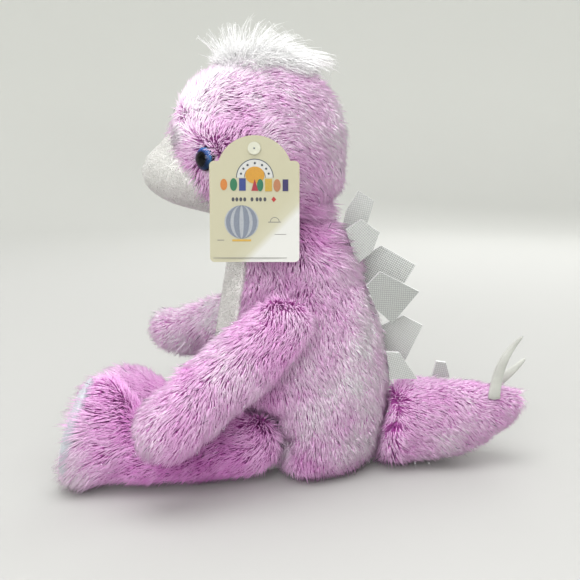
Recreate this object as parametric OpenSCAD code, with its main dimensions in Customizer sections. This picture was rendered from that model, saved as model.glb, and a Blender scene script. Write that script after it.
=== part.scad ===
// Seated plush dinosaur with stuffed limbs that swing, a turning and nodding head, a wagging tail,
// two staggered rows of fabric back plates, a long-pile crown tuft and a hanging card tag.
// Millimetres. Origin: centre of the bounding box's base. +Z up, the toy faces -Y, its left is +X.

/* [Body] */
// half width of the trunk at its widest
body_hw = 58; // [48:1:66]
// pile and backing thickness of the sewn shell
shell = 8; // [5:0.5:10]
// air left between a shell and its stuffing
slip = 0.5; // [0.3:0.1:1]
// radius of the round seat panel
seat_r = 27; // [22:1:28]
// half angle of the white belly panel
belly_deg = 40; // [25:1:60]
// seam gap between two sewn panels
seam = 0.25; // [0.1:0.05:0.5]

/* [Neck] */
// radius of the round neck dome
neck_r = 42; // [36:0.5:46]
// height of the neck dome's centre
neck_z = 148; // [140:1:156]
// distance of the neck dome's centre behind the origin
neck_y = -15; // [-20:1:-8]
// running gap between two bodies
run = 0.8; // [0.4:0.1:1.5]
// radius of the ladder-stitch neck seam cord
cord_r = 1.5; // [0.8:0.1:2]

/* [Head] */
// half width of the head
head_hw = 58; // [50:1:66]
// half height of the cranium
head_hh = 55; // [46:1:60]
// half length of the cranium
head_hl = 62; // [52:1:66]
// half angle of the white muzzle cover seen from inside the head
muzzle_deg = 35; // [30:1:55]
// muzzle half width
muzzle_hw = 35; // [28:1:42]
// eye diameter
eye_d = 16.5; // [12:0.5:20]
// crown tuft height
tuft_h = 27; // [15:1:40]

/* [Limbs] */
// extra arm thickness
arm_fat = 0; // [-3:0.5:3]
// extra leg thickness
leg_fat = 0; // [-3:0.5:3]
// how far the right forearm is bent upwards at the paw
arm_bend = 22; // [0:1:30]
// outward roll of the right foot
foot_roll = 78; // [0:1:85]

/* [Plates and tag] */
// thickness of the fabric plates
plate_t = 4; // [2:0.5:6]
// hang tag width
tag_w = 57; // [40:1:70]
// hang tag height to the shoulders
tag_h = 64; // [50:1:80]
// hang tag leaf thickness
tag_t = 0.6; // [0.4:0.1:1.2]
// plane of the hang tag beside the head
tag_x = 66; // [62:0.5:74]

/* [Hidden] */

// colours
LILAC = [0.80, 0.60, 0.82];
WHITE = [0.95, 0.94, 0.95];
SILVER = [0.76, 0.76, 0.75];
FILL = [0.93, 0.92, 0.88];

// ---- curve and grid helpers ----
function spl(a, b, c, d, t) =
  0.5 * (2 * b + (c - a) * t + (2 * a - 5 * b + 4 * c - d) * t * t + (3 * b - a - 3 * c + d) * t * t * t);
// smooth row of a station table at index u
function row(T, u) =
  let (n = len(T) - 1, i = min(n - 1, floor(u)), t = u - i)
  spl(T[max(0, i - 1)], T[i], T[i + 1], T[min(n, i + 2)], t);
// index at which a station table's first column reaches v
function at(T, v, i = 0) =
  i >= len(T) - 1 ? len(T) - 1 :
  v > T[i + 1][0] ? at(T, v, i + 1) : i + max(0, (v - T[i][0]) / (T[i + 1][0] - T[i][0]));
function unit(v) = v / max(1e-9, norm(v));
// angles of a ring made of two half panels with a seam gap between them
function halves(m, d) = [for (h = [0, 1]) for (k = [0 : m]) h * 180 + d + k * (180 - 2 * d) / m];
// tangent direction at b on the curve a, b, c with uneven steps
function mid_dir(a, b, c) = let (h = norm(b - a), k = norm(c - b)) k * unit(b - a) + h * unit(c - b);
// a closed grid moved inwards by t along its own normals; sgn picks the inward side
function inset(g, t, sgn = 1) =
  let (n = len(g) - 1, m = len(g[0]))
  [for (i = [0 : n]) [for (j = [0 : m - 1])
    let (du = mid_dir(g[max(0, i - 1)][j], g[i][j], g[min(n, i + 1)][j]),
         dv = mid_dir(g[i][(j + m - 1) % m], g[i][j], g[i][(j + 1) % m]),
         r = g[i == 0 ? 1 : n - 1],
         cap = unit(cross(r[floor(m / 3)] - r[0], r[floor(2 * m / 3)] - r[0])) * (i == 0 ? 1 : -1),
         nn = (i == 0 || i == n) ? cap : unit(cross(du, dv)))
    g[i][j] + sgn * t * nn]];
function cols(g, a, b) = [for (r = g) [for (j = [a : b]) r[j]]];
function rows(g, a, b) = [for (i = [a : b]) g[i]];

// a grid kept on one side of the middle plane, h = 1 for the left and -1 for the right
function keep(g, h) = [for (r = g) [for (p = r) [h * max(seam / 2, h * p[0]), p[1], p[2]]]];
// closed polyhedron whose triangles are turned to face outwards
module solid(pts, faces) {
  v = [for (f = faces) 1] * [for (f = faces) pts[f[0]] * cross(pts[f[1]], pts[f[2]])];
  polyhedron(pts, v > 0 ? [for (f = faces) [f[0], f[2], f[1]]] : faces, convexity = 8);
}
// closed panel between two open grids of the same size
module slab(o, q) {
  n = len(o);
  m = len(o[0]);
  N = n * m;
  pts = concat([for (r = o) for (p = r) p], [for (r = q) for (p = r) p]);
  top = [for (i = [0 : n - 2]) for (j = [0 : m - 2])
    let (a = i * m + j, b = a + 1, c = a + m + 1, d = a + m) each [[a, b, c], [a, c, d]]];
  bot = [for (f = top) [f[0] + N, f[2] + N, f[1] + N]];
  e1 = [for (i = [0 : n - 2]) let (a = i * m, d = a + m) each [[a, d, d + N], [a, d + N, a + N]]];
  e2 = [for (i = [0 : n - 2]) let (a = i * m + m - 1, d = a + m) each [[a, d + N, d], [a, a + N, d + N]]];
  e3 = [for (j = [0 : m - 2]) let (a = j, b = j + 1) each [[a, b + N, b], [a, a + N, b + N]]];
  e4 = [for (j = [0 : m - 2]) let (a = (n - 1) * m + j, b = a + 1) each [[a, b, b + N], [a, b + N, a + N]]];
  solid(pts, concat(top, bot, e1, e2, e3, e4));
}
// closed loft through rings of equal size, with its two end rings capped
module blob(g) {
  n = len(g);
  m = len(g[0]);
  pts = [for (r = g) for (p = r) p];
  side = [for (i = [0 : n - 2]) for (j = [0 : m - 1])
    let (k = (j + 1) % m, a = i * m + j, b = i * m + k, c = (i + 1) * m + k, d = (i + 1) * m + j)
    each [[a, b, c], [a, c, d]]];
  c0 = [for (k = [1 : m - 2]) [0, k + 1, k]];
  c1 = [for (k = [1 : m - 2]) let (z = (n - 1) * m) [z, z + k, z + k + 1]];
  solid(pts, concat(side, c0, c1));
}

// ---- trunk ----
// columns: height, front, back, half width
TB = [[0, -50, 38, body_hw - 14], [4, -57, 45, body_hw - 7], [14, -63, 51.5, body_hw - 2],
  [32, -66, 57, body_hw], [50, -67, 59, body_hw + 1], [70, -66.5, 59.5, body_hw],
  [90, -65, 56.5, body_hw - 2], [110, -62, 52, body_hw - 6], [128, -59, 45.5, body_hw - 10],
  [145, -56, 36, body_hw - 14], [156, -55, 28.5, 41.5]];
// plane that the arms swing against
function arm_plane(z) = 48 - 0.12 * (z - 118);
// hip centre, sideways run of the leg, and the pocket that the swinging thigh needs
HIP = [40, -40, 27];
SPLAY = 0.15;
SPLAY_R = 0;
SWING = 65;
hip_r = 32.8; // radius of the hip pocket
thigh_w = 21.3; // its half width
function hip_x(f, s) = HIP[0] + s * f;
// distance from the thigh's path, f forward and v up from the hip
function hip_d(f, v) =
  v >= 0 ? (f >= 0 ? v : norm([f, v])) :
  f * sin(SWING) + v * cos(SWING) >= 0 ? 0 :
  f * cos(SWING) - v * sin(SWING) > 0 ? -(f * sin(SWING) + v * cos(SWING)) : norm([f, v]);
function side_max(p, off) =
  let (f = HIP[1] - p[1], d = hip_d(f, p[2] - HIP[2]), o = max(0, off - 5.6),
       R = hip_r + o, w = thigh_w + o + max(0, min(3, f * 0.08)),
       in = w * sqrt(max(0, 1 - d * d / (R * R))) + run)
  d >= R ? arm_plane(p[2]) - off : min(arm_plane(p[2]) - off, hip_x(f, f < 0 ? SPLAY : SPLAY_R) - in);
function side_clamp(p, off) = let (m = side_max(p, off)) [max(-m, min(m, p[0])), p[1], p[2]];
function body_row(z) = row(TB, at(TB, z));
function body_back(z, x = 0) =
  let (r = body_row(z)) -4 + (r[2] + 4) * sqrt(max(0, 1 - pow(x / r[3], 2)));
NF = 6; // belly columns
NS = 15; // side columns
function body_angles() = concat(
  [for (k = [0 : NF]) -belly_deg + 0.4 + k * (2 * belly_deg - 0.8) / NF],
  [for (k = [0 : NS]) belly_deg + 0.2 + k * (179.7 - belly_deg) / NS],
  [for (k = [0 : NS]) 180.1 + k * (179.7 - belly_deg) / NS]);
BA = body_angles();
BZ = [0, 1.5, 5, 12, 21, 32, 43, 51, 57, 62, 74, 88, 102, 116, 130, 143, 154];
SEAT_Y = 5;
function body_pt(z, a) =
  let (r = body_row(z), c = cos(a))
  [r[3] * sin(a), -4 - (c > 0 ? -4 - r[1] : r[2] + 4) * c, z];
function dome_pt(pol, a, R) = [R * sin(pol) * sin(a), neck_y - R * sin(pol) * cos(a), neck_z + R * cos(pol)];
DP = [70, 56, 40, 22, 2];
torso_raw = concat(
  [[for (a = BA) [(seat_r + 0.4) * sin(a), SEAT_Y - (seat_r + 0.4) * cos(a), 0]]],
  [for (z = BZ) [for (a = BA) body_pt(z, a)]],
  [for (d = DP) [for (a = BA) dome_pt(d, a, neck_r)]]);
torso_out = [for (i = [0 : len(torso_raw) - 1]) [for (p = torso_raw[i])
  i > 0 && i <= len(BZ) ? side_clamp(p, 0) : p]];
function body_inner(t) =
  let (g = inset(torso_raw, t, 1), n = len(g) - 1)
  [for (i = [0 : n]) [for (j = [0 : len(BA) - 1])
    i == 0 ? [(seat_r + 0.4) * sin(BA[j]), SEAT_Y - (seat_r + 0.4) * cos(BA[j]), t] :
    i > len(BZ) ? dome_pt(DP[i - len(BZ) - 1], BA[j], neck_r - t) :
    let (p = g[i][j], q = side_clamp(p, t)) [q[0], q[1], max(t, i == 1 ? t : q[2])]]];
torso_in = body_inner(shell);
torso_core = body_inner(shell + slip);

L0 = NF + 1; // first column of the left panel
R0 = NF + NS + 2; // first column of the right panel
module torso_fur_left() color(LILAC)
  slab(keep(cols(torso_out, L0, L0 + NS), 1), keep(cols(torso_in, L0, L0 + NS), 1));
module torso_fur_right() color(LILAC)
  slab(keep(cols(torso_out, R0, R0 + NS), -1), keep(cols(torso_in, R0, R0 + NS), -1));
module belly_panel() color(WHITE) slab(cols(torso_out, 0, NF), cols(torso_in, 0, NF));
module seat_panel() color(LILAC) translate([0, SEAT_Y, 0]) cylinder(h = shell, r = seat_r, $fn = 72);
module torso_stuffing() color(FILL) blob(torso_core);

// ---- neck seam ----
// the cord lies on the dome, just below the head's rim
cord_gap = 0.4;
seam_r = neck_r + cord_r + cord_gap;
seam_pol = 63; // its angle from the top of the dome
module neck_seam() color(LILAC)
  translate([0, neck_y, neck_z + seam_r * cos(seam_pol)])
    rotate_extrude($fn = 72) translate([seam_r * sin(seam_pol), 0]) circle(cord_r, $fn = 24);

// ---- head: a star-shaped surface about HC, polar axis towards the muzzle ----
HC = [0, -34, 228];
MD = [0, -cos(25), -sin(25)];
MU = [0, -sin(25), cos(25)];
// distance from HC along d to the far side of an ellipsoid
function ell(d, c, s) =
  let (o = HC - c, A = pow(d[0] / s[0], 2) + pow(d[1] / s[1], 2) + pow(d[2] / s[2], 2),
       B = d[0] * o[0] / pow(s[0], 2) + d[1] * o[1] / pow(s[1], 2) + d[2] * o[2] / pow(s[2], 2),
       C = pow(o[0] / s[0], 2) + pow(o[1] / s[1], 2) + pow(o[2] / s[2], 2) - 1)
  (-B + sqrt(max(0, B * B - A * C))) / A;
function smax(v, p = 9) = pow(pow(v[0], p) + pow(v[1], p) + pow(v[2], p), 1 / p);
function head_free(d) = 0.985 * smax([
  ell(d, [0, -34, 238], [head_hw, head_hl, head_hh]),
  ell(d, [0, -20, 207], [50, 46, 41]),
  ell(d, [0, -67, 212], [muzzle_hw, 48, 25])]);
hug = 1.2; // extra room in sliding sockets
// the neck socket: distance from HC along d to the neck sphere
function to_neck(d, R) =
  let (o = HC - [0, neck_y, neck_z], b = d * o, c = o * o - R * R, q = b * b - c)
  q <= 0 || b >= 0 ? 1e6 : -b - sqrt(q);
function head_r(d, t) = min(head_free(d) - t, to_neck(d, neck_r + run + hug + t));
function hdir(al, be) = cos(al) * MD + sin(al) * (sin(be) * [1, 0, 0] + cos(be) * MU);
function hpt(al, be, t) = let (d = hdir(al, be)) HC + head_r(d, t) * d;
HM = 12;
HB = halves(HM, 0.35);
HA = [for (k = [0 : 13]) muzzle_deg + 0.5 + k * (178.6 - muzzle_deg - 0.5) / 13];
MA = [for (k = [0 : 5]) 1.5 + k * (muzzle_deg - 1.5) / 5];
head_out = [for (a = HA) [for (b = HB) hpt(a, b, 0)]];
head_in = [for (a = HA) [for (b = HB) hpt(a, b, shell)]];
muz_b = [for (k = [0 : 23]) k * 15];
EN = unit([0.765, -0.64, 0.06]);
ER = unit([-0.765, -0.64, 0.06]);
ES = head_free(unit([44, -38, -6]));
EP = HC + (ES - 5.5) * unit([44, -38, -6]);
EQ = [-EP[0], EP[1], EP[2]];
TP = [tag_x, -34, 230.5]; // tag hole

// local z axis along n at point p
module aim(p, n) translate(p) rotate([0, acos(n[2]), atan2(n[1], n[0])]) children();
module eye_hole(p, n) {
  aim(p - 10 * n, n) cylinder(h = 30, r = eye_d / 2 + 0.5, $fn = 48);
}
module tag_hole() translate([20, TP[1], TP[2]]) rotate([0, 90, 0]) cylinder(h = 60, r = 1.2, $fn = 24);
module head_fur_left() color(LILAC) difference() {
  slab(cols(head_out, 0, HM), cols(head_in, 0, HM));
  eye_hole(EP, EN);
  tag_hole();
}
module head_fur_right() color(LILAC) difference() {
  slab(cols(head_out, HM + 1, 2 * HM + 1), cols(head_in, HM + 1, 2 * HM + 1));
  eye_hole(EQ, ER);
}
module muzzle_cover() color(WHITE)
  blob(concat([for (k = [0 : 5]) [for (b = muz_b) hpt(MA[k], -b, shell)]],
              [for (k = [0 : 5]) [for (b = muz_b) hpt(MA[5 - k], -b, 0)]]));
module head_stuffing() color(FILL) difference() {
  blob([for (a = concat(MA, HA)) [for (b = HB) hpt(a, b, shell + slip + 0.2)]]);
  aim(EP - 14 * EN, EN) cylinder(h = 30, r = 11, $fn = 36);
  aim(EQ - 14 * ER, ER) cylinder(h = 30, r = 11, $fn = 36);
  translate([TP[0] - 24, TP[1], TP[2]]) rotate([0, 90, 0]) cylinder(h = 30, r = 6, $fn = 36);
}
// safety eye: domed front, neck post, and a washer inside the fabric
module eye_at(p, n) aim(p, n) {
  intersection() {
    translate([0, 0, -3.2]) sphere(r = sqrt(pow(eye_d / 2, 2) + 3.2 * 3.2), $fn = 48);
    cylinder(h = 12, r = eye_d / 2 + 1, $fn = 48);
  }
  translate([0, 0, -11]) cylinder(h = 11.5, r = 2.2, $fn = 24);
}
module washer_at(p, n) aim(p - 7 * n, n) difference() {
  cylinder(h = 1.6, r = 8, $fn = 36);
  translate([0, 0, -1]) cylinder(h = 4, r = 2.3, $fn = 24);
}
module eye_left() color([0.1, 0.2, 0.4]) eye_at(EP, EN);
module eye_right() color([0.1, 0.2, 0.4]) eye_at(EQ, ER);
module eye_washer_left() color([0.9, 0.9, 0.9]) washer_at(EP, EN);
module eye_washer_right() color([0.9, 0.9, 0.9]) washer_at(EQ, ER);

// crown tuft: a ridge over the top of the head, v from front to back, w across
function tdir(v, w) = unit([sin(w), -cos(w) * sin(v), cos(w) * cos(v)]);
function tuft_rise(v, w) =
  2 + (tuft_h - 2) * pow(max(0, cos(w * 90 / 17)), 0.8) * pow(max(0, sin((v + 38) * 180 / 66)), 0.55);
TV = [for (k = [0 : 10]) 28 - k * 66 / 10];
TW = [for (k = [0 : 8]) -17 + k * 34 / 8];
module hair_tuft() color(WHITE) slab(
  [for (v = TV) [for (w = TW) let (d = tdir(v, w)) HC + (head_free(d) + tuft_rise(v, w)) * d]],
  [for (v = TV) [for (w = TW) let (d = tdir(v, w)) HC + (head_free(d) + 0.5) * d]]);

// ---- hang tag: two leaves hinged at the arched top, on a clear plastic fastener ----
module leaf() difference() {
  union() {
    translate([-tag_w / 2 + 3, -tag_h, 0]) square([tag_w - 6, tag_h]);
    translate([-tag_w / 2, -tag_h + 3]) square([tag_w, tag_h - 6]);
    for (sx = [-1, 1]) for (sy = [0, 1])
      translate([sx * (tag_w / 2 - 3), sy == 0 ? -3 : 3 - tag_h]) circle(3, $fn = 24);
    intersection() {
      translate([0, -8]) circle(24, $fn = 96);
      translate([-30, -4]) square([60, 40]);
    }
  }
  translate([0, 8]) circle(2.4, $fn = 24);
}
module at_tag(x) translate([x, TP[1], TP[2]]) rotate([90, 0, 90]) translate([0, -8, 0]) children();
module tag_front() color([0.93, 0.91, 0.82]) at_tag(TP[0] + 0.9) linear_extrude(tag_t) leaf();
module tag_back() color([0.93, 0.91, 0.82]) at_tag(TP[0]) linear_extrude(tag_t) leaf();
module tag_fastener() color([0.9, 0.95, 1, 0.5]) translate(TP) rotate([0, 90, 0]) {
  translate([0, 0, 2]) cylinder(h = 0.8, r = 4, $fn = 36);
  translate([0, 0, -21]) cylinder(h = 23.5, r = 0.6, $fn = 24);
  translate([0, 0, -21]) rotate([90, 0, 0]) cylinder(h = 8, r = 0.7, center = true, $fn = 24);
}

// ---- arms ----
// columns: distance along the arm, half width across, half height
AT = [[-20.5, 1, 1], [-18.5, 9.5, 9.5], [-12, 17.5, 17.5], [0, 22.5, 22.5], [20, 24.5, 24.5], [42, 25, 25],
  [64, 24, 24.5], [86, 23.5, 24], [103, 23.5, 23.5], [115.5, 20, 20], [123, 11.5, 11.5], [125.5, 1, 1]];
AS = [60.5, -15, 116];
AE = [98, -89, 57];
A1 = unit(AE - AS);
A2 = unit(cross(A1, [0, 0, 1]));
A3 = cross(A2, A1);
AN = unit([1, 0, 0.12]);
LN = unit([0.68, 0, 0.73]); // between the paw and the thigh it rests on
PAW_X = 77.5; // the paw passes outside the toes as it lifts
PAW_Y = -75;
ANG = halves(8, 1);
function arm_fit(p, t, front) =
  let (a = p[0] < arm_plane(p[2]) + run + t ? [arm_plane(p[2]) + run + t, p[1], p[2]] : p,
       k = LN * a - 78.2 - t, b = k < 0 ? a - k * LN : a)
  [b[1] < PAW_Y ? max(b[0], PAW_X + t) : b[0], max(front + t, b[1]), b[2]];
function arm_raw(bend) = [for (r = AT) [for (a = ANG)
  AS + r[0] * A1 + bend * pow(max(0, r[0]) / 100, 2) * unit([0, A3[1], A3[2]])
  + (r[1] + arm_fat) * cos(a) * -A3 + (r[2] + arm_fat) * sin(a) * -A2]];
function arm_shell(g, t, front) =
  [for (r = (t > 0 ? inset(g, t, 1) : g)) [for (p = r) arm_fit(p, t, front)]];
module arm_part(k, bend, front) {
  g = arm_raw(bend);
  o = arm_shell(g, 0, front);
  q = arm_shell(g, shell, front);
  if (k == 0) slab(cols(o, 0, 8), cols(q, 0, 8));
  if (k == 1) slab(cols(o, 9, 17), cols(q, 9, 17));
  if (k == 2) blob(arm_shell(g, shell + slip, front));
}
module arm_left_outer() color(LILAC) arm_part(0, 0, -111);
module arm_left_inner() color(LILAC) arm_part(1, 0, -111);
module arm_left_stuffing() color(FILL) arm_part(2, 0, -111);
module arm_right_outer() color(LILAC) mirror([1, 0, 0]) arm_part(0, arm_bend, -140);
module arm_right_inner() color(LILAC) mirror([1, 0, 0]) arm_part(1, arm_bend, -140);
module arm_right_stuffing() color(FILL) mirror([1, 0, 0]) arm_part(2, arm_bend, -140);

// ---- legs ----
// columns: forward distance, centre z, half width, half height, lean of the ring
LT = [[15, 27, 0.8, 1, 0], [16.5, 27, 7, 8.8, 0], [22, 27, 13.5, 17.5, 0], [30, 27, 17.4, 22.8, 0],
  [41, 27, 19, 25, 0], [56, 26.5, 20.5, 25.5, 0], [73, 25.5, 21.5, 24.5, 0], [90, 24, 21.5, 22.5, 0],
  [107, 26.5, 22.5, 25, 0.05], [120, 34, 23.5, 32, 0.12], [132, 40.5, 25, 37.5, 0.2],
  [143.5, 43, 25.5, 39.5, 0.24], [153, 43, 24, 36.5, 0.27], [158, 43, 19, 29.5, 0.28],
  [161, 42.5, 10.5, 17, 0.28], [162, 42.5, 1.2, 1.5, 0.28]];
LK = 12; // ring where the sole pad begins
sole_gap = 1; // seam between the leg and its pad
// out is the furthest that the toes may reach sideways
function leg_fit(p, t, out) =
  let (k = LN * p - 77.4 + t, b = (k > 0 && p[1] > -112.5) ? p - k * LN : p)
  [b[1] < -108 ? min(b[0], out - t) : b[0], b[1], max(t, b[2])];
// roll is how far the foot is turned outwards about the leg
function leg_raw(splay, roll) = [for (r = LT) [for (a = ANG)
  let (fat = r[3] > 5 ? leg_fat : 0, w = min(1, max(0, (r[0] - 70) / 52)), th = roll * w * w * (3 - 2 * w),
       u = (r[2] + fat) * sin(a), v = (r[3] + fat) * cos(a), h = r[1] - 25.5 + v)
  [hip_x(r[0] + HIP[1], splay) + u * cos(th) + h * sin(th), -r[0] + r[4] * v,
     25.5 + h * cos(th) - u * sin(th)]]];
function leg_shell(g, t, out) =
  [for (r = (t > 0 ? inset(g, t, -1) : g)) [for (p = r) leg_fit(p, t, out)]];
function nudge(g, d) = [for (r = g) [for (p = r) p + [0, d, 0]]];
module leg_part(k, splay, roll) {
  g = leg_raw(splay, roll);
  out = roll > 0 ? 200 : PAW_X - run;
  o = leg_shell(g, 0, out);
  q = leg_shell(g, shell, out);
  if (k == 0) slab(rows(cols(o, 0, 8), 0, LK), rows(cols(q, 0, 8), 0, LK));
  if (k == 1) slab(rows(cols(o, 9, 17), 0, LK), rows(cols(q, 9, 17), 0, LK));
  if (k == 2) blob(leg_shell(g, shell + slip, out));
  if (k == 3) {
    a = nudge(rows(o, LK, 15), -sole_gap);
    b = nudge(rows(q, LK, 15), -sole_gap);
    blob(concat([for (i = [0 : 3]) b[3 - i]], [for (i = [0 : 3]) a[i]]));
  }
}
module leg_left_outer() color(LILAC) leg_part(0, SPLAY, 0);
module leg_left_inner() color(LILAC) leg_part(1, SPLAY, 0);
module leg_left_stuffing() color(FILL) leg_part(2, SPLAY, 0);
module foot_pad_left() color(SILVER) leg_part(3, SPLAY, 0);
module leg_right_outer() color(LILAC) mirror([1, 0, 0]) leg_part(0, SPLAY_R, foot_roll);
module leg_right_inner() color(LILAC) mirror([1, 0, 0]) leg_part(1, SPLAY_R, foot_roll);
module leg_right_stuffing() color(FILL) mirror([1, 0, 0]) leg_part(2, SPLAY_R, foot_roll);
module foot_pad_right() color(SILVER) mirror([1, 0, 0]) leg_part(3, SPLAY_R, foot_roll);

// ---- tail ----
// columns: y, centre z, half width, half height
TT = [[38, 31, 1, 1], [40, 31, 15, 15], [43, 31.5, 26, 28], [58, 32, 30, 31.3],
  [76, 32.3, 30, 31.6], [94, 32.5, 28, 30.5], [110, 34, 25.5, 28],
  [124, 36.5, 22, 24], [137, 40, 18, 19.5], [148, 43.5, 13.5, 14.5], [157, 47, 8.5, 9.5],
  [162, 49.5, 4, 4.5], [164, 50.5, 0.8, 0.8]];
WAG = 8; // the wag axis runs straight up through this y
tail_gap = 1.8; // room between the tail's root and the back
function tail_fit(p, t) =
  let (rho = body_back(max(0, p[2])) - WAG + run + tail_gap + t, s = rho * rho - p[0] * p[0])
  [p[0], max(p[1], WAG + sqrt(max(0, s))), max(t, p[2])];
TG = halves(8, 0.6);
tail_raw = [for (r = TT) [for (a = TG) [r[2] * sin(a), r[0], r[1] + r[3] * cos(a)]]];
tail_out = [for (r = tail_raw) [for (p = r) tail_fit(p, 0)]];
function tail_inner(t) = let (g = inset(tail_raw, t, 1)) [for (r = g) [for (p = r) tail_fit(p, t)]];
tail_in = tail_inner(shell - 2);
tail_core = tail_inner(shell - 2 + slip);
module tail_fur_left() color(LILAC) slab(keep(cols(tail_out, 0, 8), 1), keep(cols(tail_in, 0, 8), 1));
module tail_fur_right() color(LILAC) slab(keep(cols(tail_out, 9, 17), -1), keep(cols(tail_in, 9, 17), -1));
module tail_stuffing() color(FILL) blob(tail_core);
function tail_top(y, x) =
  let (r = row(TT, at(TT, y))) r[1] + r[3] * sqrt(max(0, 1 - pow(x / max(0.1, r[2]), 2)));
// tapered curved spike: base point, direction, bend, length, base radii
module spike(b, d, bend, len, ra, rb) {
  s = unit(cross(d, [0, 0, 1]));
  e = cross(s, d);
  blob([for (k = [0 : 6]) let (u = k / 6, f = pow(1 - u, 0.8) + 0.04)
    [for (j = [0 : 11])
      b + len * u * d + bend * u * u + ra * f * cos(-j * 30) * s + rb * f * sin(-j * 30) * e]]);
}
module spike_left() color(SILVER)
  spike([16.5, 138, 57.5], unit([0.25, -0.05, 1]), [-1, 10, 0], 43, 2.6, 5.5);
module spike_right() color(SILVER)
  spike([-14.5, 142, 56.5], unit([-0.35, 0.85, 0.15]), [0, 0, 6], 24, 2.6, 5);

// ---- back plates: flat pieces standing on the back, clipped to its surface ----
module plate(pts, x, side) color(SILVER)
  translate([x - plate_t / 2, 0, 0]) rotate([90, 0, 90]) linear_extrude(plate_t) difference() {
    polygon(pts);
    polygon(concat([[-20, 40]],
      [for (z = [40 : 6 : 154]) [body_back(z, max(0, abs(x) - plate_t / 2)) + 0.5, z]],
      [[23.5, 160], [18, 170], [-20, 192]]));
  }
module plate_1() plate([[24, 162], [28.5, 184], [37.3, 198.2], [48.2, 191.1], [43, 172], [33, 157]], -9);
module plate_2() plate([[27.3, 172.8], [38.2, 179.7], [50.8, 170.7], [46, 157], [35.1, 148]], 10);
module plate_3() plate([[34, 146], [54, 158.8], [79, 144.8], [71.3, 131.5], [46, 128]], -11);
module plate_4() plate([[36.4, 128], [51.5, 143.5], [78.8, 129.4], [60.5, 106.7]], 13);
module plate_5() plate([[52, 98.6], [71, 107.6], [85.2, 100.1], [73.2, 74.3], [56, 80]], -11);
module plate_6() plate([[49.6, 86.5], [65.8, 85.5], [79, 66.5], [58, 66.5]], 13);
module tail_plate() color(SILVER)
  translate([-12 - plate_t / 2, 0, 0]) rotate([90, 0, 90]) linear_extrude(plate_t) difference() {
    polygon([[91, 54], [96, 73], [103, 72], [108, 54]]);
    polygon(concat([for (y = [80 : 4 : 120]) [y, tail_top(y, 10) + 0.6]], [[120, 20], [80, 20]]));
  }

torso_fur_left();
torso_fur_right();
belly_panel();
seat_panel();
torso_stuffing();
plate_1();
plate_2();
plate_3();
plate_4();
plate_5();
plate_6();
neck_seam();
head_fur_left();
head_fur_right();
muzzle_cover();
head_stuffing();
eye_left();
eye_right();
eye_washer_left();
eye_washer_right();
hair_tuft();
tag_fastener();
tag_front();
tag_back();
arm_left_outer();
arm_left_inner();
arm_left_stuffing();
arm_right_outer();
arm_right_inner();
arm_right_stuffing();
leg_left_outer();
leg_left_inner();
foot_pad_left();
leg_left_stuffing();
leg_right_outer();
leg_right_inner();
foot_pad_right();
leg_right_stuffing();
tail_fur_left();
tail_fur_right();
tail_stuffing();
tail_plate();
spike_left();
spike_right();
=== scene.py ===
"""Looks of the stuffed dinosaur: sewn covers over padded filling, a pile of single strands, cloth
plates, plastic eyes and a hanging card tag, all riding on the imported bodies. Metres, row frame."""

import math

import bmesh
import bpy
import numpy as np
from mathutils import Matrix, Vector, kdtree
from mathutils.bvhtree import BVHTree


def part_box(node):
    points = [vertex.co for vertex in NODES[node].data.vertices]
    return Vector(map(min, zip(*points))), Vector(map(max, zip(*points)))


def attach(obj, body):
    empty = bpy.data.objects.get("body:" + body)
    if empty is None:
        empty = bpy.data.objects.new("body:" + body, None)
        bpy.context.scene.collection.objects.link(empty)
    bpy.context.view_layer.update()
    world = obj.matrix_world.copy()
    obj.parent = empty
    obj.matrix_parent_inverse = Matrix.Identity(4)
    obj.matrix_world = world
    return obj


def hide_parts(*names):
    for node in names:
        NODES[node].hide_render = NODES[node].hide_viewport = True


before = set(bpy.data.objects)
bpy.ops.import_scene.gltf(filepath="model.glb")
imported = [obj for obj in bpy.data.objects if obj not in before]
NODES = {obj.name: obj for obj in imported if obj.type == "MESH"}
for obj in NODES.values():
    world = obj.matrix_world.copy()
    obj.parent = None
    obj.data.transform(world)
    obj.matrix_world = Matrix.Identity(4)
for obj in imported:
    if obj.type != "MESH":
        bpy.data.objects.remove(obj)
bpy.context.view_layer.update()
MM = 0.001

# ---------------------------------------------------------------- camera
CAM_DISTANCE = 0.70
CAM_ELEVATION = math.radians(10)
CAM_AIM = Vector((0.0, -0.0115, 0.128))
CAM_LENS = 60.8
SENSOR = 36.0


def make_camera():
    data = bpy.data.cameras.new("camera")
    data.lens = CAM_LENS
    data.sensor_width = SENSOR
    cam = bpy.data.objects.new("camera", data)
    bpy.context.scene.collection.objects.link(cam)
    back = Vector((math.cos(CAM_ELEVATION), 0.0, math.sin(CAM_ELEVATION)))
    cam.location = CAM_AIM + CAM_DISTANCE * back
    cam.rotation_mode = "QUATERNION"
    cam.rotation_quaternion = (-back).to_track_quat("-Z", "Y")
    data.clip_start = 0.01
    data.clip_end = 20.0
    bpy.context.scene.camera = cam


make_camera()

# ---------------------------------------------------------------- small helpers


def unit(a):
    """Rows of a, each scaled to length one."""
    return a / np.maximum(np.linalg.norm(a, axis=-1, keepdims=True), 1e-12)


def smooth(x, low, high):
    """Smooth step from 0 at low to 1 at high."""
    t = np.clip((x - low) / (high - low), 0.0, 1.0)
    return t * t * (3 - 2 * t)


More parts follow.
